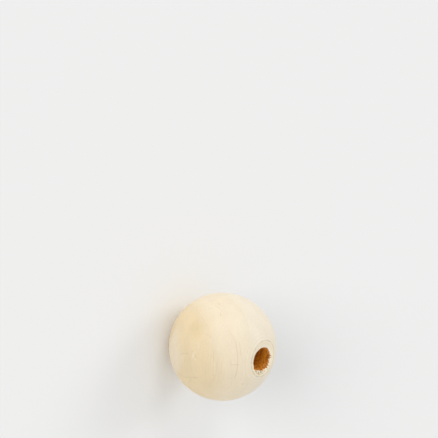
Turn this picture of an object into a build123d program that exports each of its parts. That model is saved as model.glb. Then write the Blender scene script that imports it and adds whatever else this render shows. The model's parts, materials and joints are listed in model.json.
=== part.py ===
"""Wooden bead: one ball-shaped turning with a cord hole drilled through it.

Millimetres. The bore runs along Z and the origin is the bead's centre, halfway along the bore.
The bead stands on the flat ring that is left around either mouth of the hole.
"""
from build123d import *
import math
import os

# Driving dimensions
bead_diameter = 25.0    # the ball that the outside is turned to
bore_diameter = 5.5     # drilled cord hole, right through
mouth_flare = 0.95      # how far each mouth opens beyond the bore's wall, on the radius
mouth_depth = 0.45      # how deep each mouth runs into the bore
end_ring_width = 0.425  # flat ring between each mouth and the round outside, on the radius
rim_round = 0.12        # tumbled rounding of the flat ring's two edges
throat_round = 0.3      # tumbled rounding where a mouth turns into the bore

# Worked out from the sizes above
bead_radius = bead_diameter / 2
bore_radius = bore_diameter / 2
mouth_radius = bore_radius + mouth_flare
end_radius = mouth_radius + end_ring_width
end_angle = math.degrees(math.acos(end_radius / bead_radius))
end_height = math.sqrt(bead_radius**2 - end_radius**2)
throat_height = end_height - mouth_depth

# Half section of the turning, in the XZ plane, on the +X side of the bore's axis
with BuildSketch(Plane.XZ) as half_section:
    with BuildLine() as outline:
        belly = CenterArc((0, 0), bead_radius, -end_angle, 2 * end_angle)
        top_ring = Line(belly @ 1, (mouth_radius, end_height))
        top_mouth = Line(top_ring @ 1, (bore_radius, throat_height))
        wall = Line(top_mouth @ 1, (bore_radius, -throat_height))
        bottom_mouth = Line(wall @ 1, (mouth_radius, -end_height))
        bottom_ring = Line(bottom_mouth @ 1, belly @ 0)
    make_face()
    throat_corners = half_section.vertices().group_by(Axis.X)[0]
    fillet(throat_corners, radius=throat_round)
    mouth_corners = half_section.vertices().group_by(Axis.X)[-2]
    fillet(mouth_corners, radius=rim_round)
    end_corners = half_section.vertices().group_by(Axis.X)[-1]
    fillet(end_corners, radius=rim_round)

with BuildPart() as bead:
    add(half_section.sketch)
    revolve(axis=Axis.Z)

bead.part.label = "bead"

os.makedirs("parts", exist_ok=True)
export_step(bead.part, "parts/bead.step")
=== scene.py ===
import json
import math
import random
from collections import namedtuple

import bmesh
import bpy
from bpy.props import FloatProperty, FloatVectorProperty, IntProperty, PointerProperty
from mathutils import Matrix, Vector, noise


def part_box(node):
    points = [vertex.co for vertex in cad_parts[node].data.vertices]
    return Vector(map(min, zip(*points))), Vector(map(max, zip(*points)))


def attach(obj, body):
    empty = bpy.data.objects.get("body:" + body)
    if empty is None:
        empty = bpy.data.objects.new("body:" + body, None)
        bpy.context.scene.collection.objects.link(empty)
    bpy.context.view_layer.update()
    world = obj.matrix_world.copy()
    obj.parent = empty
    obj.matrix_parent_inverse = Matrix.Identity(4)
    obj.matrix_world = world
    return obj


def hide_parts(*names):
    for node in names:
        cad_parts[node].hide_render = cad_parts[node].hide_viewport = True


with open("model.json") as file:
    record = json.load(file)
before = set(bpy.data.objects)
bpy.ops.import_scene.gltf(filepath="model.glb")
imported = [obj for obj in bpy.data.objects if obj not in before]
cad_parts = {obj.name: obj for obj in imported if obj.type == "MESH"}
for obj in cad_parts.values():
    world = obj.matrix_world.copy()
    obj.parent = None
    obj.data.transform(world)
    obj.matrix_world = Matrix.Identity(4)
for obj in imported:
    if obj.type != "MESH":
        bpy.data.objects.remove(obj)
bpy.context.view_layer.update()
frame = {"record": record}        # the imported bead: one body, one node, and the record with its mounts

bl_info = {
    "name": "Turned Wooden Bead",
    "version": (1, 0, 0),
    "blender": (4, 5, 0),
    "location": "3D View > Sidebar > Bead",
    "description": "Makes a pale turned bead with a torn cord hole, and the stage it stands on",
    "category": "Add Mesh",
}

MM = 0.001

# What the frame fixes: the ball, its two flat ends and the drilled bore.
BEAD_LOW, BEAD_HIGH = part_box("bead")
BORE_MOUNT = next(mount for mount in frame["record"]["mounts"] if mount["name"] == "bore")
BALL_RADIUS = BEAD_HIGH[0]
END_HEIGHT = BEAD_HIGH[2]
END_RADIUS = math.sqrt(BALL_RADIUS**2 - END_HEIGHT**2)
BORE_RADIUS = BORE_MOUNT["dims"]["r_mm"] * MM

# The surface is worn and coloured in millimetres, so the same facts are kept in them too.
END_HEIGHT_MM = END_HEIGHT / MM
END_RADIUS_MM = END_RADIUS / MM
BORE_RADIUS_MM = BORE_RADIUS / MM

# A spot on the turning as the wear sees it: the spot itself and in the grain, its distance from the
# axis, its angle, the direction straight out from the axis, 1 at the upper end or -1 at the lower
# one, and how deep it lies below that end.
Place = namedtuple("Place", "spot grain radius degrees outward side depth")

# Fine marks on the round outside. Start and end are places on the surface and bow is how far the
# middle strays to the side, all in millimetres. Tone is below 0 for a dark mark, above 0 for a pale one.
Mark = namedtuple("Mark", "start end bow width tone")
MARKS = (
    Mark((-3.5, -8.8, 8.1), (7.6, -4.5, 8.8), 0.90, 0.22, -0.15),
    Mark((-2.4, -7.9, 9.4), (1.4, -6.6, 10.5), 0.12, 0.18, -0.13),
    Mark((3.4, -7.8, 9.1), (2.8, -6.1, 10.5), 0.05, 0.20, -0.17),
    Mark((0.6, -11.1, 5.7), (7.8, -7.8, 6.0), 0.15, 0.16, -0.13),
    Mark((3.4, -10.3, 6.3), (6.8, -8.4, 6.2), 0.05, 0.24, 0.50),
    Mark((5.9, -5.6, 9.4), (7.4, -4.7, 8.9), 0.05, 0.20, 0.45),
    Mark((9.3, -8.1, -2.0), (8.1, -8.9, 3.2), 0.35, 0.34, -0.13),
    Mark((9.0, -8.7, 0.7), (10.5, -6.6, -1.2), -0.20, 0.26, -0.10),
    Mark((8.5, -8.3, -4.0), (9.3, -8.1, -2.0), 0.10, 0.32, -0.10),
    Mark((-8.0, -9.6, -0.3), (-7.1, -9.4, 4.1), 0.15, 0.34, 0.50),
    Mark((-8.8, -8.6, 1.4), (-8.9, -8.4, 2.4), 0.05, 0.22, -0.18),
    Mark((-6.9, -9.6, 3.8), (-6.2, -10.0, 4.2), 0.15, 0.22, -0.18),
    Mark((-1.7, -12.0, 3.0), (-0.8, -11.3, 5.2), 0.10, 0.22, -0.10),
    Mark((4.4, -11.4, -2.5), (3.7, -11.9, 0.6), 0.12, 0.28, -0.12),
    Mark((4.9, -11.4, 1.2), (2.4, -12.1, 2.1), 0.15, 0.26, 0.42),
    Mark((2.4, -12.1, 2.3), (0.6, -12.2, 2.6), -0.10, 0.26, 0.42),
    Mark((4.9, -11.3, 2.4), (3.4, -11.8, 1.2), 0.00, 0.24, 0.36),
    Mark((4.3, -11.4, 2.5), (3.4, -11.8, 2.0), 0.10, 0.18, -0.22),
    Mark((6.5, -2.6, 10.3), (7.0, -2.4, 10.1), 0.00, 0.28, -0.16),
)

# Notches torn outwards in the upper throat: angle and half width in degrees, depth in millimetres.
# One is below 0: a tongue of wood that hangs inwards.
NOTCHES = (
    (18, 6, 0.10), (33, 4, 0.28), (48, 8, 0.12), (61, 6, 0.46), (72, 5, 0.38), (84, 5, 0.24),
    (95, 6, -0.26), (101, 3, 0.30), (107, 3, 0.70), (114, 3, 0.60), (121, 4, 0.36), (131, 6, 0.14),
    (294, 14, 0.14), (325, 8, 0.50), (337, 9, 0.26),
)

# Broad parts of the upper throat's edge that stand wide, or lean in when the size is below 0:
# angle and half width in degrees, size in millimetres.
SWELLS = ((208, 58, -0.28), (308, 34, 0.18), (5, 28, -0.20), (75, 30, 0.10))

# Small pits in the upper mouth: angle in degrees, distance from the axis and size in millimetres.
PITS = (
    (345, 3.26, 0.36), (351, 3.66, 0.16), (2, 3.44, 0.34), (9, 3.74, 0.14),
    (20, 3.22, 0.34), (29, 3.62, 0.16), (40, 3.38, 0.15), (56, 3.60, 0.14), (70, 3.74, 0.10),
)


# ---------------------------------------------------------------------------
# Sizes and colours
# ---------------------------------------------------------------------------

class BeadSizes(bpy.types.PropertyGroup):
    """Sizes of the turning, its mouths and its grain"""

    end_ring_width: FloatProperty(
        name="End ring width", description="Flat ring between a mouth and the round outside",
        default=0.425 * MM, min=0.05 * MM, unit="LENGTH", precision=6)
    mouth_depth: FloatProperty(
        name="Mouth depth", description="How deep a mouth runs into the bore",
        default=0.45 * MM, min=0.05 * MM, unit="LENGTH", precision=6)
    rim_round: FloatProperty(
        name="Rim rounding", description="Length of the softened edge at either side of the flat ring",
        default=0.06 * MM, min=0.01 * MM, unit="LENGTH", precision=6)
    throat_round: FloatProperty(
        name="Throat rounding", description="Length of the softened edge where a mouth meets the bore",
        default=0.14 * MM, min=0.01 * MM, unit="LENGTH", precision=6)
    rim_groove: FloatProperty(
        name="Rim groove", description="Depth of the fine groove outside the flat ring",
        default=0.03 * MM, min=0, unit="LENGTH", precision=6)
    off_centre: FloatProperty(
        name="Off centre", description="How far the drill wandered along the X axis",
        default=0.15 * MM, unit="LENGTH", precision=6)
    torn_depth: FloatProperty(
        name="Torn depth", description="Length of finely cut wall inside each throat",
        default=4.5 * MM, min=1.0 * MM, unit="LENGTH", precision=6)
    lathe_steps: IntProperty(
        name="Lathe steps", description="Faces around the bead", default=400, min=48)
    belly_steps: IntProperty(
        name="Belly steps", description="Faces from one end ring to the other", default=124, min=16)
    grain_turn: FloatProperty(
        name="Grain turn", description="Direction of the fibres about the bore, from the X axis",
        default=math.radians(30), subtype="ANGLE")
    ring_lean: FloatProperty(
        name="Ring lean", description="Lean of the growth rings about the fibres",
        default=math.radians(27.5), subtype="ANGLE")
    ring_spacing: FloatProperty(
        name="Ring spacing", description="Distance from one growth ring to the next",
        default=4.3 * MM, min=0.5 * MM, unit="LENGTH", precision=6)


class BeadColours(bpy.types.PropertyGroup):
    """Colours of the wood"""

    cream: FloatVectorProperty(
        name="Cream wood", description="Palest sapwood, along one side",
        default=(0.90, 0.81, 0.65), size=3, min=0, max=1, subtype="COLOR")
    pale: FloatVectorProperty(
        name="Pale wood", description="Sapwood over most of the bead",
        default=(0.90, 0.775, 0.575), size=3, min=0, max=1, subtype="COLOR")
    warm: FloatVectorProperty(
        name="Warm wood", description="Yellower wood along the other side",
        default=(0.865, 0.70, 0.445), size=3, min=0, max=1, subtype="COLOR")
    stain: FloatVectorProperty(
        name="Stain", description="Soft brownish patch in the warm wood",
        default=(0.77, 0.605, 0.34), size=3, min=0, max=1, subtype="COLOR")
    late_wood: FloatVectorProperty(
        name="Late wood", description="Thin dark edge of a growth ring",
        default=(0.72, 0.57, 0.39), size=3, min=0, max=1, subtype="COLOR")
    pore: FloatVectorProperty(
        name="Pore", description="Open vessels and hairline marks",
        default=(0.40, 0.28, 0.13), size=3, min=0, max=1, subtype="COLOR")
    cut: FloatVectorProperty(
        name="Fresh cut", description="Clean wood in the two mouths",
        default=(0.93, 0.83, 0.61), size=3, min=0, max=1, subtype="COLOR")
    # Painted highlight: a whitish band standing for light along the lip of each throat.
    lip_highlight: FloatVectorProperty(
        name="Burr", description="Whitish burr round each throat",
        default=(0.97, 0.895, 0.74), size=3, min=0, max=1, subtype="COLOR")
    # The bore wall's dark orange-brown is partly the torn wood's own tone and partly painted shade of the
    # deep, narrow bore.
    bore: FloatVectorProperty(
        name="Bore wall", description="Wood darkened by the drill",
        default=(0.80, 0.325, 0.008), size=3, min=0, max=1, subtype="COLOR")
    scorch: FloatVectorProperty(
        name="Scorch", description="Darker streaks in the bore",
        default=(0.48, 0.155, 0.008), size=3, min=0, max=1, subtype="COLOR")


class StageSettings(bpy.types.PropertyGroup):
    """Camera, floor and light"""

    lens: FloatProperty(
        name="Lens", description="Focal length in millimetres",
        default=100, min=10, subtype="DISTANCE_CAMERA")
    distance: FloatProperty(
        name="Distance", description="From the camera to the bead's centre",
        default=0.2842, min=0.05, unit="LENGTH", precision=6)
    elevation: FloatProperty(
        name="Elevation", description="Height of the camera above the bead's middle, as an angle",
        default=math.radians(36.1), subtype="ANGLE")
    roll: FloatProperty(
        name="Roll", description="Turn of the camera about its line of sight",
        default=math.radians(106.6), subtype="ANGLE")
    pan: FloatProperty(
        name="Pan", description="Turn of the camera to its left, away from the bead",
        default=math.radians(0.17), subtype="ANGLE")
    tilt: FloatProperty(
        name="Tilt", description="Turn of the camera upwards, away from the bead",
        default=math.radians(5.98), subtype="ANGLE")
    background: FloatProperty(
        name="Background", description="Grey of the floor and backdrop as the camera sees it",
        default=0.863, min=0, max=1)
    surround: FloatProperty(
        name="Surround light", description="Strength of the even light from all round",
        default=0.80, min=0)
    key: FloatProperty(
        name="Key light", description="Brightness that the main soft lamp adds to a white face",
        default=0.20, min=0)
    fill: FloatProperty(
        name="Fill light", description="Brightness that the second soft lamp adds to a white face",
        default=0.06, min=0)
    floor_front: FloatProperty(
        name="Front floor light", description="Brightness of the low lamp in front, for the floor alone",
        default=0.80, min=0)
    floor_back: FloatProperty(
        name="Back floor light", description="Brightness of the lamp behind, for the floor alone",
        default=0.20, min=0)


# ---------------------------------------------------------------------------
# Small helpers for meshes
# ---------------------------------------------------------------------------

def smooth_step(low, high, value):
    """0 at low, 1 at high, and an S curve between them; low may be the larger."""
    share = min(max((value - low) / (high - low), 0.0), 1.0)
    return share * share * (3.0 - 2.0 * share)


def degrees_apart(first, second):
    """The smaller angle between two directions, both in degrees."""
    return abs((first - second + 180.0) % 360.0 - 180.0)


def around(degrees, radius, height):
    """A place at an angle round the bore, in millimetres."""
    turn = math.radians(degrees)
    return Vector((radius * math.cos(turn), radius * math.sin(turn), height))


def grain_matrix(sizes):
    """Turns a place on the bead to (along the fibres, across the rings, along the rings)."""
    lean = Matrix.Rotation(-sizes.ring_lean, 3, "X")
    turn = Matrix.Rotation(-sizes.grain_turn, 3, "Z")
    return lean @ turn


def finish_piece(name, mesh_work, material):
    """Writes a bmesh to a new object at the origin, smooth shaded, with its material."""
    mesh = bpy.data.meshes.new(name)
    mesh_work.to_mesh(mesh)
    mesh_work.free()
    mesh.materials.append(material)
    mesh.polygons.foreach_set("use_smooth", [True] * len(mesh.polygons))
    piece = bpy.data.objects.new(name, mesh)
    bpy.context.scene.collection.objects.link(piece)
    return piece


# ---------------------------------------------------------------------------
# The turned body
# ---------------------------------------------------------------------------

def draw_half_section(lathe, sizes):
    """Half section in the XZ plane as a closed wire, from the belly round through the bore."""
    mouth_radius = END_RADIUS - sizes.end_ring_width
    throat_height = END_HEIGHT - sizes.mouth_depth
    torn_height = throat_height - sizes.torn_depth

    first = lathe.verts.new((END_RADIUS, 0, END_HEIGHT))
    half_angle = math.atan2(END_HEIGHT, END_RADIUS)
    bmesh.ops.spin(
        lathe, geom=[first], cent=(0, 0, 0), axis=(0, 1, 0),
        angle=2 * half_angle, steps=sizes.belly_steps)

    corners = [
        (mouth_radius, END_HEIGHT),
        (BORE_RADIUS, throat_height),
        (BORE_RADIUS, torn_height),
        (BORE_RADIUS, -torn_height),
        (BORE_RADIUS, -throat_height),
        (mouth_radius, -END_HEIGHT),
        (END_RADIUS, -END_HEIGHT),
    ]
    last = first
    for radius, height in corners:
        extended = bmesh.ops.extrude_vert_indiv(lathe, verts=[last])["verts"][0]
        step = Vector((radius, 0, height)) - last.co
        bmesh.ops.translate(lathe, verts=[extended], vec=step)
        last = extended
    bmesh.ops.remove_doubles(lathe, verts=lathe.verts, dist=0.001 * MM)

    soften_corners(lathe, BORE_RADIUS, throat_height, sizes.throat_round, 6)
    soften_corners(lathe, mouth_radius, END_HEIGHT, sizes.rim_round, 3)
    soften_corners(lathe, END_RADIUS, END_HEIGHT, sizes.rim_round, 3)

    rings = runs_between(lathe, (mouth_radius, END_RADIUS), (END_HEIGHT - 0.001 * MM, END_HEIGHT * 1.001))
    cones = runs_between(lathe, (BORE_RADIUS * 1.04, mouth_radius * 0.985), (throat_height, END_HEIGHT))
    torn_walls = runs_between(lathe, (0, BORE_RADIUS * 1.001), (torn_height, throat_height))
    deep_wall = runs_between(lathe, (0, BORE_RADIUS * 1.001), (0, torn_height * 0.9))
    shoulders = runs_between(lathe, (END_RADIUS * 1.005, END_RADIUS * 1.1), (END_HEIGHT * 0.9, END_HEIGHT))
    bmesh.ops.subdivide_edges(lathe, edges=rings, cuts=3)
    bmesh.ops.subdivide_edges(lathe, edges=cones, cuts=11)
    bmesh.ops.subdivide_edges(lathe, edges=torn_walls, cuts=17)
    bmesh.ops.subdivide_edges(lathe, edges=deep_wall, cuts=8)
    bmesh.ops.subdivide_edges(lathe, edges=shoulders, cuts=3)


def soften_corners(lathe, radius, height, length, segments):
    """Rounds the upper and lower corner at this radius and height."""
    tolerance = 0.01 * MM
    corners = [
        vert for vert in lathe.verts
        if abs(vert.co.x - radius) < tolerance and abs(abs(vert.co.z) - height) < tolerance
    ]
    bmesh.ops.bevel(
        lathe, geom=corners, offset=length, offset_type="OFFSET", segments=segments,
        profile=0.5, affect="VERTICES", material=-1)


def runs_between(lathe, radii, heights):
    """Straight runs longer than 0.12 mm whose middle lies between these radii and heights."""
    found = []
    for edge in lathe.edges:
        middle = (edge.verts[0].co + edge.verts[1].co) / 2
        within = radii[0] <= middle.x <= radii[1] and heights[0] <= abs(middle.z) <= heights[1]
        if within and edge.calc_length() > 0.12 * MM:
            found.append(edge)
    return found


def measure_runs(lathe):
    """Writes on each corner of the section how far round the section it lies, from 0 to 1."""
    along = lathe.verts.layers.float.new("along_section")
    start = min(lathe.verts, key=lambda vert: (round(vert.co.x, 7), abs(vert.co.z)))
    order = [start]
    lengths = [0.0]
    edge = start.link_edges[0]
    while True:
        following = edge.other_vert(order[-1])
        lengths.append(lengths[-1] + edge.calc_length())
        if following is start:
            break
        order.append(following)
        edge = next(other for other in following.link_edges if other is not edge)
    for vert, length in zip(order, lengths):
        vert[along] = length / lengths[-1]


def turn_on_lathe(lathe, sizes):
    """Spins the half section once round the bore and closes the seam."""
    bmesh.ops.spin(
        lathe, geom=lathe.verts[:] + lathe.edges[:], cent=(0, 0, 0), axis=(0, 0, 1),
        angle=2 * math.pi, steps=sizes.lathe_steps, use_merge=True)
    bmesh.ops.remove_doubles(lathe, verts=lathe.verts, dist=0.001 * MM)
    bmesh.ops.recalc_face_normals(lathe, faces=lathe.faces)


def unroll(lathe, sizes):
    """Lays the skin out flat: round the bead along U, round the section along V."""
    along = lathe.verts.layers.float["along_section"]
    layout = lathe.loops.layers.uv.new("OFBake")
    for face in lathe.faces:
        places = []
        for loop in face.loops:
            turn = math.atan2(loop.vert.co.y, loop.vert.co.x) / (2 * math.pi)
            step = round(turn * sizes.lathe_steps) % sizes.lathe_steps
            places.append([step / sizes.lathe_steps, loop.vert[along]])
        for axis in (0, 1):
            furthest = max(place[axis] for place in places)
            for place in places:
                if furthest - place[axis] > 0.5:
                    place[axis] += 1.0
        for loop, place in zip(face.loops, places):
            loop[layout].uv = place


def belly_relief(spot, grain):
    """Millimetres that the round outside stands proud of the true ball at a spot."""
    out_of_round = 0.035 * noise.noise(spot * 0.13 + Vector((3.1, 0.0, 7.7)))
    raised_grain = 0.006 * noise.noise(Vector((grain.x * 0.3, grain.y * 2.3, grain.z * 2.3)))
    polar = math.atan2(math.hypot(spot.x, spot.y), spot.z) * spot.length
    tool_marks = 0.003 * noise.noise(Vector((0.0, 5.0, polar * 2.6)))
    return out_of_round + raised_grain + tool_marks


def mark_frame(mark):
    """A mark's middle, the directions along it and across it, and half its length."""
    start = Vector(mark.start)
    end = Vector(mark.end)
    middle = (start + end) / 2
    along = (end - start).normalized()
    across = along.cross(middle.normalized())
    return middle, along, across, (end - start).length / 2


def scratch_depth(spot, frames):
    """Millimetres that the fine marks are sunk below the surface at a spot."""
    depth = 0.0
    for mark, (middle, along, across, half) in zip(MARKS, frames):
        offset = spot - middle
        if mark.tone > 0 or offset.length_squared > (half + 1.0) ** 2:
            continue
        share = offset.dot(along) / half
        side = abs(offset.dot(across) + mark.bow * (1.0 - share * share))
        depth += 0.02 * smooth_step(mark.width, 0.0, side) * smooth_step(1.0, 0.6, abs(share))
    return depth


def torn_outwards(degrees, upper):
    """Millimetres that a throat's edge is torn outwards at an angle, or less than 0 inwards."""
    turn = math.radians(degrees)
    circle = Vector((math.cos(turn), math.sin(turn), 0.0))
    if not upper:
        return 0.10 * noise.noise(circle * 6.0) + 0.08 * noise.noise(circle * 19.0)
    tear = sum(size * max(0.0, 1.0 - degrees_apart(degrees, middle) / half)
               for middle, half, size in NOTCHES)
    tear += sum(size * smooth_step(half, half * 0.3, degrees_apart(degrees, middle))
                for middle, half, size in SWELLS)
    ragged = smooth_step(90, 60, degrees_apart(degrees, 45))
    tear += ragged * (0.07 * noise.noise(circle * 12.0) + 0.12 * noise.noise(circle * 34.0))
    return tear + 0.02 * noise.noise(circle * 9.0)


def pit_share(spot):
    """How far a place in the upper mouth lies inside one of its ragged pits."""
    if spot.z < 0:
        return 0.0
    ragged = 1.0 + 1.1 * noise.noise(spot * 6.5)
    return max(
        smooth_step(size, size * 0.4, ragged * (spot - around(degrees, radius, spot.z)).length)
        for degrees, radius, size in PITS)


def place_of(spot, to_grain):
    """What the wear has to know of a spot: where it lies in the grain, round the bore and below the end."""
    radius = math.hypot(spot.x, spot.y)
    angle = math.atan2(spot.y, spot.x)
    outward = Vector((math.cos(angle), math.sin(angle), 0.0))
    side = 1.0 if spot.z > 0 else -1.0
    depth = END_HEIGHT_MM - abs(spot.z)
    return Place(spot, to_grain @ spot, radius, math.degrees(angle) % 360.0, outward, side, depth)


def noise_round_bore(place, round_scale, outward_scale, offset=0.0):
    """Noise that varies round the bore and outwards from it."""
    return noise.noise(Vector((
        place.outward.x * round_scale,
        place.outward.y * round_scale,
        place.radius * outward_scale + offset)))


def rim_groove(place, sizes):
    """How the fine groove outside an end ring moves the surface."""
    middle = END_RADIUS_MM + 0.06
    width = 0.07
    groove = math.exp(-((place.radius - middle) / width) ** 2) * smooth_step(0.3, 0.1, place.depth)
    lean = noise.noise(Vector((place.outward.x * 1.5, place.outward.y * 1.5, place.side * 4.0)))
    return Vector((0.0, 0.0, -place.side * groove * (sizes.rim_groove / MM) * (1.0 + lean)))


def outside_wear(place, frames):
    """How raised grain and the fine marks move the round outside."""
    sink = scratch_depth(place.spot, frames) if place.spot.y < 0 else 0.0
    edge = smooth_step(END_RADIUS_MM, END_RADIUS_MM + 0.4, place.radius)
    return place.spot.normalized() * (belly_relief(place.spot, place.grain) * edge - sink)


def throat_tear(place, inward):
    """How the torn edge moves a throat; inward is 0 at the end ring and 1 at the throat."""
    tear = torn_outwards(place.degrees, place.side > 0)
    near_throat = inward * smooth_step(1.5, 0.35, place.depth)
    climb = smooth_step(0.75, 0.4, place.depth)
    fall = noise.noise(Vector((place.outward.x * 16.0, place.outward.y * 16.0, place.spot.z * 3.0)))
    tear *= 1.0 + 0.8 * fall * smooth_step(0.5, 0.9, place.depth)
    move = place.outward * (near_throat * tear)
    move.z += place.side * near_throat * climb * 0.45 * max(tear, 0.0)
    return move


def mouth_damage(place, mouth_radius):
    """How far a place in a mouth is pitted, and how deep it lies under the clean cut."""
    rough = smooth_step(95, 50, degrees_apart(place.degrees, 20)) if place.side > 0 else 0.4
    on_cone = smooth_step(END_RADIUS_MM, mouth_radius - 0.1, place.radius)
    on_cone *= smooth_step(0.6, 0.4, place.depth)
    specks = 0.6 * smooth_step(0.22, 0.45, noise_round_bore(place, 26.0, 7.0)) * on_cone * rough
    pit = max(specks, pit_share(place.spot))
    lump = noise_round_bore(place, 17.0, 5.0, 3.0)
    chip = max(noise_round_bore(place, 8.0, 3.0), -0.2)
    return pit, 0.09 * pit + 0.035 * rough * on_cone * lump + 0.02 * chip


def bore_hollows(place, fibre):
    """How torn-out grain hollows the drilled wall, most where the fibres meet it end on."""
    in_bore = smooth_step(0.4, 1.0, place.depth)
    end_grain = abs(place.outward.dot(fibre))
    grain = place.grain
    hollow = max(noise.noise(Vector((grain.x * 1.2, grain.y * 3.4, grain.z * 3.4))), 0.0)
    return place.outward * in_bore * 0.12 * hollow * (0.3 + 0.7 * end_grain)


def wear_body(lathe, sizes):
    """Moves the true turning to the real one: raised grain, marks, chipped rims, a torn bore.

    Four shares are kept on the mesh for the wood: how far a place is drilled, and so takes the bore wall's
    colour with its painted shade, freshly cut, pitted, or on the throat's lip, where a highlight is
    painted.
    """
    to_grain = grain_matrix(sizes)
    fibre = to_grain.inverted() @ Vector((1.0, 0.0, 0.0))
    frames = [mark_frame(mark) for mark in MARKS]
    drilled = lathe.verts.layers.float.new("drilled")
    fresh = lathe.verts.layers.float.new("fresh")
    pitted = lathe.verts.layers.float.new("pitted")
    lit_lip_share = lathe.verts.layers.float.new("lit_lip_share")
    mouth_radius = (END_RADIUS - sizes.end_ring_width) / MM
    throat_radius = BORE_RADIUS_MM + 0.20
    off_centre = Vector((sizes.off_centre / MM, 0.0, 0.0))
    for vert in lathe.verts:
        place = place_of(vert.co / MM, to_grain)
        move = rim_groove(place, sizes)
        if place.radius > END_RADIUS_MM + 0.02:
            move += outside_wear(place, frames)
        else:
            inward = smooth_step(mouth_radius, throat_radius, place.radius)
            pit, dent = mouth_damage(place, mouth_radius)
            move += throat_tear(place, inward) + bore_hollows(place, fibre) + off_centre * inward
            move.z -= place.side * dent

            # Where the bore wall's colour, with its painted shade, is laid.
            vert[drilled] = smooth_step(BORE_RADIUS_MM + 0.27, BORE_RADIUS_MM + 0.13, place.radius)
            vert[drilled] *= smooth_step(0.30, 0.42, place.depth)
            vert[fresh] = smooth_step(END_RADIUS_MM + 0.05, END_RADIUS_MM - 0.1, place.radius)
            vert[fresh] *= smooth_step(1.4, 0.6, place.depth)
            vert[pitted] = pit
            # Where the highlight along the throat's lip is painted.
            vert[lit_lip_share] = smooth_step(BORE_RADIUS_MM + 0.85, BORE_RADIUS_MM + 0.35, place.radius)
            vert[lit_lip_share] *= smooth_step(0.6, 0.4, place.depth)
        vert.co = (place.spot + move) * MM


class BEAD_OT_turned_body(bpy.types.Operator):
    """Turn the ball with its bore, mouths and worn surface"""

    bl_idname = "bead.turned_body"
    bl_label = "Turned Body"

    def execute(self, context):
        sizes = context.scene.bead_sizes
        colours = context.scene.bead_colours
        lathe = bmesh.new()
        draw_half_section(lathe, sizes)
        measure_runs(lathe)
        turn_on_lathe(lathe, sizes)
        unroll(lathe, sizes)
        wear_body(lathe, sizes)
        body = finish_piece("turned_body", lathe, raw_wood(sizes, colours))
        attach(body, "root")
        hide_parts("bead")
        return {"FINISHED"}


# ---------------------------------------------------------------------------
# Torn fibres at the mouths
# ---------------------------------------------------------------------------

def lift_fibre(tuft, root, direction, length, width, flat, curl, darkness):
    """One closed sliver of wood, from a buried root to a thin tip, in millimetres."""
    drilled = tuft.verts.layers.float["drilled"]
    fresh = tuft.verts.layers.float["fresh"]
    stages = 6
    taper = 0.85
    facing = direction.to_track_quat("Z", "Y").to_matrix().to_4x4()
    place = Matrix.Translation(root) @ facing @ Matrix.Diagonal((1.0, flat, 1.0, 1.0))
    ring = bmesh.ops.create_circle(
        tuft, cap_ends=True, segments=6, radius=width / 2, matrix=place)["verts"]
    for vert in ring:
        # The sliver takes the bore wall's colour, painted shade included, as far as its darkness says.
        vert[drilled] = darkness
        vert[fresh] = 0.4
    tip = ring[0].link_faces[0]
    centre = root.copy()
    heading = direction.normalized()
    for stage in range(1, stages + 1):
        grown = bmesh.ops.extrude_face_region(tuft, geom=[tip])["geom"]
        tip = next(part for part in grown if isinstance(part, bmesh.types.BMFace))
        heading = (heading + curl / stages).normalized()
        advance = heading * (length / stages)
        centre = centre + advance
        bmesh.ops.translate(tuft, verts=tip.verts[:], vec=advance)
        slim = (1.0 - taper * stage / stages) / (1.0 - taper * (stage - 1) / stages)
        bmesh.ops.scale(
            tuft, verts=tip.verts[:], vec=(slim, slim, slim), space=Matrix.Translation(-centre))
        for vert in tip.verts:
            vert[drilled] = darkness * (1.0 - 0.2 * stage / stages)


def grow_tufts(tuft, sizes):
    """Slivers round both throats: many short ones at the torn side, few elsewhere."""
    draw = random.Random(41)
    fibre = grain_matrix(sizes).inverted() @ Vector((1.0, 0.0, 0.0))
    throat_height = (END_HEIGHT - sizes.mouth_depth) / MM
    shift = Vector((sizes.off_centre / MM, 0.0, 0.0))
    for upper, count in ((True, 170), (False, 60)):
        side = 1.0 if upper else -1.0
        for _ in range(count):
            degrees = draw.uniform(0, 360)
            torn = smooth_step(100, 60, degrees_apart(degrees, 50)) if upper else 0.4
            keep = draw.random() < 0.06 + 0.94 * torn
            rise = draw.uniform(-0.55, 0.12)
            length = draw.uniform(0.25, 0.75)
            width = draw.uniform(0.06, 0.17)
            darkness = draw.uniform(0.6, 1.0)
            sway = Vector([draw.uniform(-0.35, 0.35) for _ in range(3)])
            if not keep:
                continue
            outward = around(degrees, 1.0, 0.0)
            edge = BORE_RADIUS_MM + 0.06 + max(torn_outwards(degrees, upper), 0.0)
            root = around(degrees, edge + 0.03, side * (throat_height + rise)) + shift
            along = -fibre if fibre.dot(outward) > 0 else fibre
            direction = along * 0.8 - outward * 0.35 + sway + Vector((0, 0, side * 0.25))
            lift_fibre(tuft, root, direction.normalized(), length, width, 0.5, -outward * 0.3, darkness)

    # One broad flap hangs across the throat, with a thinner one beside it.
    root_radius = BORE_RADIUS_MM + 0.37
    tip_radius = BORE_RADIUS_MM - 0.03
    for start, end, width, rise, darkness in ((98, 84, 0.34, 0.20, 0.05), (80, 60, 0.20, 0.02, 0.60)):
        root = around(start, root_radius, throat_height + rise) + shift
        tip = around(end, tip_radius, throat_height + rise + 0.04) + shift
        reach = tip - root
        lift_fibre(
            tuft, root, reach.normalized(), reach.length, width, 0.45,
            around((start + end) / 2, 0.35, 0.0), darkness)


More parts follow.
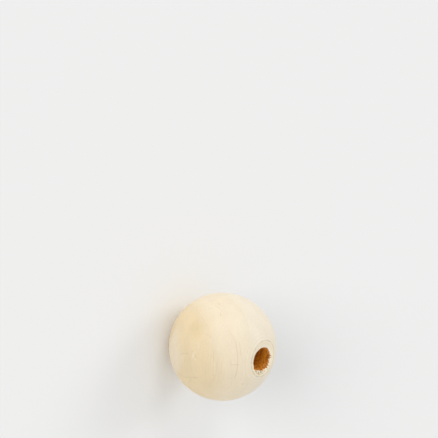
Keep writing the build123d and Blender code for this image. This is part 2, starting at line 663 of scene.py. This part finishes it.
class BEAD_OT_torn_fibres(bpy.types.Operator):
    """Lift the torn fibres left by the drill at both mouths"""

    bl_idname = "bead.torn_fibres"
    bl_label = "Torn Fibres"

    def execute(self, context):
        sizes = context.scene.bead_sizes
        colours = context.scene.bead_colours
        tuft = bmesh.new()
        tuft.verts.layers.float.new("drilled")
        tuft.verts.layers.float.new("fresh")
        grow_tufts(tuft, sizes)
        bmesh.ops.scale(tuft, verts=tuft.verts, vec=(MM, MM, MM))
        bmesh.ops.recalc_face_normals(tuft, faces=tuft.faces)
        fibres = finish_piece("torn_fibres", tuft, raw_wood(sizes, colours))
        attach(fibres, "root")
        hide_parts("bead")
        return {"FINISHED"}


# ---------------------------------------------------------------------------
# The wood
# ---------------------------------------------------------------------------

class Wiring:
    """Adds nodes to a material's tree and links them."""

    def __init__(self, tree):
        self.tree = tree

    def add(self, kind, inputs=None, **settings):
        """A node with these settings; inputs go by socket name or number, as values or sockets."""
        node = self.tree.nodes.new(kind)
        for name, value in settings.items():
            setattr(node, name, value)
        for name, value in (inputs or {}).items():
            self.feed(node.inputs[name], value)
        return node

    def feed(self, socket, value):
        """Links an output socket, or sets a plain value."""
        if isinstance(value, bpy.types.NodeSocket):
            self.tree.links.new(value, socket)
        else:
            socket.default_value = value

    def math(self, operation, *values):
        """The result of a Math node."""
        node = self.add("ShaderNodeMath", operation=operation)
        for socket, value in zip(node.inputs, values):
            self.feed(socket, value)
        return node.outputs[0]

    def vector(self, operation, *values):
        """The vector that a Vector Math node gives."""
        node = self.add("ShaderNodeVectorMath", operation=operation)
        for socket, value in zip(node.inputs, values):
            self.feed(socket, value)
        return node.outputs["Vector"]

    def dot(self, first, second):
        """The dot product of two vectors."""
        node = self.add("ShaderNodeVectorMath", {0: first, 1: second}, operation="DOT_PRODUCT")
        return node.outputs["Value"]

    def length(self, value):
        """The length of a vector."""
        node = self.add("ShaderNodeVectorMath", {0: value}, operation="LENGTH")
        return node.outputs["Value"]

    def axes(self, value):
        """The three parts of a vector."""
        node = self.add("ShaderNodeSeparateXYZ", {0: value})
        return node.outputs[0], node.outputs[1], node.outputs[2]

    def ease(self, value, low, high, start=0.0, end=1.0):
        """value mapped from low..high to start..end along an S curve."""
        node = self.add(
            "ShaderNodeMapRange",
            {"Value": value, "From Min": low, "From Max": high, "To Min": start, "To Max": end},
            interpolation_type="SMOOTHSTEP")
        return node.outputs["Result"]

    def place(self, value, location=(0, 0, 0), rotation=(0, 0, 0), scale=(1, 1, 1)):
        """The vector moved, turned and stretched by a Mapping node."""
        node = self.add(
            "ShaderNodeMapping",
            {"Vector": value, "Location": location, "Rotation": rotation, "Scale": scale})
        return node.outputs["Vector"]

    def cloud(self, value, scale=1.0, detail=2.0, roughness=0.5):
        """Soft noise around 0.5."""
        node = self.add(
            "ShaderNodeTexNoise",
            {"Vector": value, "Scale": scale, "Detail": detail, "Roughness": roughness})
        return node.outputs["Fac"]

    def blend(self, share, under, over, mode="MIX"):
        """over laid on under by a share."""
        node = self.add("ShaderNodeMix", data_type="RGBA", blend_type=mode)
        self.feed(node.inputs["Factor"], share)
        self.feed(node.inputs[6], under)
        self.feed(node.inputs[7], over)
        return node.outputs[2]

    def shade(self, tone, colour):
        """The colour made lighter or darker by a tone around 1."""
        grey = self.add("ShaderNodeCombineColor", {0: tone, 1: tone, 2: tone})
        return self.blend(1.0, colour, grey.outputs[0], "MULTIPLY")

    def kept(self, name):
        """A share kept on the mesh under a name."""
        node = self.add("ShaderNodeAttribute", attribute_name=name)
        return node.outputs["Fac"]

    def bump(self, height, distance, under=None):
        """A normal raised by height, in metres at a height of 1."""
        node = self.add("ShaderNodeBump", {"Height": height, "Distance": distance})
        if under is not None:
            self.feed(node.inputs["Normal"], under)
        return node.outputs["Normal"]


def rgba(colour):
    """A colour property as a socket's value."""
    return (colour[0], colour[1], colour[2], 1.0)


def growth_rings(wires, grain, sizes):
    """Share of late wood: a thin line at the end of each year's growth, and a soft lead-in."""
    crest = -4.7                # along the fibres, where the rings bow outwards furthest
    curvature = 0.018
    first_ring = -1.3
    end_of_year = 0.96
    along, across, _ = wires.axes(grain)
    from_crest = wires.math("ADD", along, -crest)
    bow = wires.math("MULTIPLY", wires.math("MULTIPLY", from_crest, from_crest), curvature)
    wander = wires.cloud(wires.place(grain, scale=(0.15, 0.35, 0.35)), detail=3.0)
    wander = wires.math("MULTIPLY", wires.math("SUBTRACT", wander, 0.5), 1.6)
    ring = wires.math("ADD", wires.math("ADD", across, bow), wander)
    spacing = sizes.ring_spacing / MM
    year = wires.math("FRACT", wires.math("DIVIDE", wires.math("ADD", ring, -first_ring), spacing))
    line = wires.ease(wires.math("ABSOLUTE", wires.math("SUBTRACT", year, end_of_year)), 0.04, 0.01)
    lead_in = wires.math("MULTIPLY", wires.ease(year, 0.4, end_of_year), wires.ease(year, 1.0, end_of_year))
    patchy = wires.cloud(wires.place(grain, location=(5, 1, 2), scale=(0.14, 0.25, 0.25)))
    line = wires.math("MULTIPLY", line, wires.ease(patchy, 0.45, 0.65, 0.0, 0.13))
    return wires.math("ADD", line, wires.math("MULTIPLY", lead_in, 0.06))


def across_drift(wires, grain):
    """The place across the rings, with a slow drift, for soft zones of colour."""
    _, across, _ = wires.axes(grain)
    drift = wires.cloud(wires.place(grain, scale=(0.07, 0.22, 0.22)), detail=3.0)
    drift = wires.math("MULTIPLY", wires.math("SUBTRACT", drift, 0.5), 5.0)
    return wires.math("ADD", across, drift)


def soft_patch(wires, spot, centre, size):
    """Share of a soft patch round a centre, in millimetres."""
    away = wires.vector("DIVIDE", wires.vector("SUBTRACT", spot, centre), size)
    edge = wires.math("SUBTRACT", wires.cloud(spot, scale=0.5, detail=3.0), 0.5)
    return wires.ease(wires.math("ADD", wires.length(away), wires.math("MULTIPLY", edge, 0.9)), 1.0, 0.0)


def fine_mark(wires, spot, mark):
    """Share of one fine mark on the surface."""
    middle, along, across, half = mark_frame(mark)
    offset = wires.vector("SUBTRACT", spot, tuple(middle))
    share = wires.dot(offset, tuple(along / half))
    bend = wires.math("MULTIPLY_ADD", wires.math("MULTIPLY", share, share), -mark.bow, mark.bow)
    away = wires.math("ABSOLUTE", wires.math("ADD", wires.dot(offset, tuple(across)), bend))
    line = wires.ease(away, mark.width, mark.width * 0.15)
    ends = wires.ease(wires.math("ABSOLUTE", share), 1.0, 0.55)
    near = wires.ease(wires.dot(offset, tuple(middle.normalized())), -3.0, -2.0)
    return wires.math("MULTIPLY", wires.math("MULTIPLY", line, ends), near)


def zones_of_colour(wires, spot, grain, sizes, colours):
    """Cream, pale and warm wood across the rings, with a stain and the late wood of each year; the warm
    wood fades towards the lower end, a paler band of painted light there.
    """
    stain_centre = (-2.2, -12.2, 0.4)
    stain_size = (3.4, 4.6, 3.2)
    across = across_drift(wires, grain)
    colour = wires.blend(wires.ease(across, -2.0, 5.5), rgba(colours.pale), rgba(colours.cream))
    warm_start = wires.ease(across, -3.0, -8.5)
    # The warm wood fades out again towards the bead's lower end; that paler band is painted light, set
    # against the shade near the foot.
    warm_end_painted_light = wires.ease(across, -12.6, -11.0)
    warm = wires.math("MULTIPLY", warm_start, warm_end_painted_light)
    colour = wires.blend(warm, colour, rgba(colours.warm))
    stain = soft_patch(wires, spot, stain_centre, stain_size)
    colour = wires.blend(wires.math("MULTIPLY", stain, 0.55), colour, rgba(colours.stain))
    return wires.blend(growth_rings(wires, grain, sizes), colour, rgba(colours.late_wood))


def fibre_texture(wires, grain, colour, colours):
    """Lays mottle, fibre streaks, vessels and flecks on a colour; also gives the streaks and vessels."""
    mottle = wires.cloud(wires.place(grain, location=(2, 8, 4), scale=(0.16, 0.4, 0.4)), detail=4.0)
    streaks = wires.cloud(wires.place(grain, scale=(0.2, 4.0, 4.0)), detail=4.0, roughness=0.65)
    tone = wires.math(
        "MULTIPLY", wires.ease(mottle, 0.3, 0.7, 0.98, 1.012), wires.ease(streaks, 0.3, 0.7, 0.966, 1.024))
    colour = wires.shade(tone, colour)
    vessels = wires.cloud(wires.place(grain, location=(7, 3, 1), scale=(0.5, 8.0, 8.0)), detail=1.0)
    pores = wires.ease(vessels, 0.66, 0.78)
    colour = wires.blend(wires.math("MULTIPLY", pores, 0.20), colour, rgba(colours.pore))
    flecks = wires.cloud(wires.place(grain, location=(1, 9, 5), scale=(0.5, 2.2, 2.2)), detail=2.0)
    colour = wires.blend(
        wires.math("MULTIPLY", wires.ease(flecks, 0.66, 0.74), 0.09), colour, rgba(colours.late_wood))
    return colour, streaks, pores


def surface_marks(wires, spot, radius, height, colour, colours):
    """Lays the fine marks on a colour, and the turning lines that close in on each mouth."""
    for mark in MARKS:
        share = wires.math("MULTIPLY", fine_mark(wires, spot, mark), abs(mark.tone))
        colour = wires.blend(share, colour, rgba(colours.pore if mark.tone < 0 else colours.cut))
    lines = wires.math("SINE", wires.math("MULTIPLY", radius, 8.5))
    lines = wires.math("MULTIPLY", lines, wires.ease(radius, 7.5, 4.8, 0.0, 0.018))
    lines = wires.math("MULTIPLY", lines, wires.ease(height, 9.0, 10.5))
    return wires.shade(wires.math("ADD", lines, 1.0), colour)


def mouths_and_bore(wires, spot, grain, radius, height, colour, colours):
    """Lays the fresh cut, the painted highlight on each throat's lip, the painted shade line at the rim,
    the pits and the drilled wall with its painted shade on a colour.
    """
    colour = wires.blend(wires.math("MULTIPLY", wires.kept("fresh"), 0.85), colour, rgba(colours.cut))
    # A painted highlight, in a whitish tone, along the lip of each throat.
    colour = wires.blend(wires.math("MULTIPLY", wires.kept("lit_lip_share"), 0.8), colour, rgba(colours.lip_highlight))

    # A dark line just outside each end ring, where the flat ring meets the ball: painted shade along the
    # rim groove.
    rim_line_radius = END_RADIUS_MM + 0.07
    off_rim = wires.math("ABSOLUTE", wires.math("SUBTRACT", radius, rim_line_radius))
    broken = wires.ease(wires.cloud(spot, scale=1.1, detail=2.0), 0.35, 0.6, 0.35, 1.0)
    rim_shade_line = wires.math("MULTIPLY", wires.ease(off_rim, 0.26, 0.05), broken)
    rim_shade_line = wires.math("MULTIPLY", rim_shade_line, wires.ease(height, 11.2, 11.5, 0.0, 0.33))
    colour = wires.blend(rim_shade_line, colour, rgba(colours.pore))

    colour = wires.blend(wires.math("MULTIPLY", wires.kept("pitted"), 0.95), colour, rgba(colours.pore))
    # The drilled wall: streaked bore colours that paint the shade inside the deep bore along with the
    # wood's tone.
    wall = wires.cloud(wires.place(grain, scale=(0.45, 2.2, 2.2)), detail=4.0, roughness=0.6)
    wall_colour_and_shade = wires.blend(wires.ease(wall, 0.38, 0.64), rgba(colours.bore), rgba(colours.scorch))
    return wires.blend(wires.kept("drilled"), colour, wall_colour_and_shade)


def raw_wood(sizes, colours):
    """Pale close-grained wood, fine sanded outside and torn in the bore; the bore wall and the rim line
    carry painted shade, each throat's lip a painted highlight.
    """
    material = bpy.data.materials.get("raw_wood_grain")
    if material:
        return material
    material = bpy.data.materials.new("raw_wood_grain")
    material.use_nodes = True
    tree = material.node_tree
    tree.nodes.clear()
    wires = Wiring(tree)

    # Places in millimetres: as they are, and along the grain.
    metres = wires.add("ShaderNodeTexCoord").outputs["Object"]
    spot = wires.place(metres, scale=(1 / MM, 1 / MM, 1 / MM))
    turned = wires.place(spot, rotation=(0, 0, -sizes.grain_turn))
    grain = wires.place(turned, rotation=(-sizes.ring_lean, 0, 0))
    x, y, z = wires.axes(spot)
    radius = wires.length(wires.add("ShaderNodeCombineXYZ", {"X": x, "Y": y}).outputs[0])
    height = wires.math("ABSOLUTE", z)

    colour = zones_of_colour(wires, spot, grain, sizes, colours)
    colour, streaks, pores = fibre_texture(wires, grain, colour, colours)
    colour = surface_marks(wires, spot, radius, height, colour, colours)
    colour = mouths_and_bore(wires, spot, grain, radius, height, colour, colours)

    drilled = wires.kept("drilled")
    torn = wires.math("MULTIPLY", drilled, 0.3)
    rough = wires.math("ADD", wires.ease(streaks, 0.3, 0.7, 0.52, 0.62), torn)
    drill_lines = wires.math("MULTIPLY", wires.math("SINE", wires.math("MULTIPLY", z, 14.0)), drilled)
    relief = wires.bump(streaks, 0.00003)
    relief = wires.bump(pores, -0.00002, under=relief)
    relief = wires.bump(drill_lines, 0.00001, under=relief)

    shader = wires.add(
        "ShaderNodeBsdfPrincipled",
        {"Base Color": colour, "Roughness": rough, "Normal": relief, "IOR": 1.5})
    wires.add("ShaderNodeOutputMaterial", {"Surface": shader.outputs[0]})
    return material


# ---------------------------------------------------------------------------
# The stage
# ---------------------------------------------------------------------------

def aim_camera(settings):
    """Puts the camera at its elevation, rolls it, then turns it off the bead by pan and tilt."""
    data = bpy.data.cameras.new("camera")
    data.lens = settings.lens
    data.clip_start = 0.01
    camera = bpy.data.objects.new("camera", data)
    bpy.context.scene.collection.objects.link(camera)
    bpy.context.scene.camera = camera
    away = Vector((0, -math.cos(settings.elevation), math.sin(settings.elevation)))
    level = (-away).to_track_quat("-Z", "Y").to_matrix()
    turned = level @ Matrix.Rotation(settings.roll, 3, "Z")
    turned = turned @ Matrix.Rotation(settings.pan, 3, "Y") @ Matrix.Rotation(settings.tilt, 3, "X")
    camera.matrix_world = Matrix.Translation(away * settings.distance) @ turned.to_4x4()


def soft_lamp(name, brightness, direction, spread):
    """A broad, even lamp from a direction; brightness is what it adds to a white face."""
    lamp = bpy.data.lights.new(name, "SUN")
    lamp.energy = brightness * math.pi
    lamp.angle = spread
    holder = bpy.data.objects.new(name, lamp)
    bpy.context.scene.collection.objects.link(holder)
    holder.rotation_euler = Vector(direction).to_track_quat("Z", "Y").to_euler()
    return holder


def seen_directly(wires):
    """1 for what the camera sees, also by reflection or through something; 0 for light."""
    path = wires.add("ShaderNodeLightPath").outputs
    bounced = wires.math("MAXIMUM", path["Is Glossy Ray"], path["Is Transmission Ray"])
    return wires.math("MAXIMUM", path["Is Camera Ray"], bounced)


def light_surround(settings):
    """Even light from all round, with the plain background in front of the camera."""
    world = bpy.data.worlds.new("surround")
    bpy.context.scene.world = world
    world.use_nodes = True
    world.node_tree.nodes.clear()
    wires = Wiring(world.node_tree)
    seen = seen_directly(wires)
    grey = settings.background
    light = wires.add("ShaderNodeBackground", {"Color": (1, 1, 1, 1), "Strength": settings.surround})
    backdrop = wires.add("ShaderNodeBackground", {"Color": (grey, grey, grey, 1), "Strength": 1.0})
    mixed = wires.add("ShaderNodeMixShader", {0: seen, 1: light.outputs[0], 2: backdrop.outputs[0]})
    wires.add("ShaderNodeOutputWorld", {"Surface": mixed.outputs[0]})


def lay_floor(settings, lit):
    """A wide pale floor at the bead's foot, whose unshaded part matches the backdrop."""
    floor_work = bmesh.new()
    bmesh.ops.create_circle(
        floor_work, cap_ends=True, segments=64, radius=4.0,
        matrix=Matrix.Translation((0, 0, BEAD_LOW[2])))
    material = bpy.data.materials.new("pale_floor")
    material.use_nodes = True
    material.node_tree.nodes.clear()
    wires = Wiring(material.node_tree)
    seen = seen_directly(wires)
    shown = settings.background / lit
    returned = 0.76             # how much light the floor throws back at the bead
    colour = wires.blend(seen, (returned, returned, returned, 1), (shown, shown, shown * 0.995, 1))
    shader = wires.add("ShaderNodeBsdfDiffuse", {"Color": colour})
    wires.add("ShaderNodeOutputMaterial", {"Surface": shader.outputs[0]})
    floor = finish_piece("floor", floor_work, material)
    return floor


class BEAD_OT_stage(bpy.types.Operator):
    """Lay the floor, set the soft lights and aim the camera"""

    bl_idname = "bead.stage"
    bl_label = "Stage"

    def execute(self, context):
        settings = context.scene.bead_stage
        key_from = Vector((-0.766, -0.449, 0.437)).normalized()
        front_from = Vector((-0.011, -0.973, 0.231)).normalized()
        back_from = Vector((-0.648, 0.534, 0.544)).normalized()
        soft_lamp("key_lamp", settings.key, key_from, math.radians(25))
        soft_lamp("fill_lamp", settings.fill, front_from, math.radians(25))
        light_surround(settings)

        # Two lamps light the floor alone, so that the bead's soft shadows show on it.
        floor_lamps = [
            soft_lamp("front_floor_lamp", settings.floor_front, front_from, math.radians(30)),
            soft_lamp("back_floor_lamp", settings.floor_back, back_from, math.radians(30)),
        ]
        front = settings.fill + settings.floor_front
        lit = settings.surround + settings.key * key_from.z + front * front_from.z
        lit += settings.floor_back * back_from.z
        only_floor = bpy.data.collections.new("only_floor")
        only_floor.objects.link(lay_floor(settings, lit))
        for lamp in floor_lamps:
            lamp.light_linking.receiver_collection = only_floor
        aim_camera(settings)
        context.scene.view_settings.view_transform = "Standard"
        return {"FINISHED"}


# ---------------------------------------------------------------------------
# Panel and registration
# ---------------------------------------------------------------------------

class BEAD_PT_maker(bpy.types.Panel):
    """Lists the bead's pieces, sizes and colours"""

    bl_idname = "BEAD_PT_maker"
    bl_label = "Wooden Bead"
    bl_space_type = "VIEW_3D"
    bl_region_type = "UI"
    bl_category = "Bead"

    def draw(self, context):
        layout = self.layout
        for group in (context.scene.bead_sizes, context.scene.bead_colours, context.scene.bead_stage):
            box = layout.box()
            for name in group.__annotations__:
                box.prop(group, name)
        for operator in PIECES:
            layout.operator(operator.bl_idname)


PIECES = (BEAD_OT_turned_body, BEAD_OT_torn_fibres, BEAD_OT_stage)
CLASSES = (BeadSizes, BeadColours, StageSettings) + PIECES + (BEAD_PT_maker,)


def register():
    for kind in CLASSES:
        bpy.utils.register_class(kind)
    bpy.types.Scene.bead_sizes = PointerProperty(type=BeadSizes)
    bpy.types.Scene.bead_colours = PointerProperty(type=BeadColours)
    bpy.types.Scene.bead_stage = PointerProperty(type=StageSettings)


def unregister():
    del bpy.types.Scene.bead_stage
    del bpy.types.Scene.bead_colours
    del bpy.types.Scene.bead_sizes
    for kind in reversed(CLASSES):
        bpy.utils.unregister_class(kind)


def main():
    register()
    bpy.ops.bead.turned_body()
    bpy.ops.bead.torn_fibres()
    bpy.ops.bead.stage()


if __name__ == "__main__":
    main()
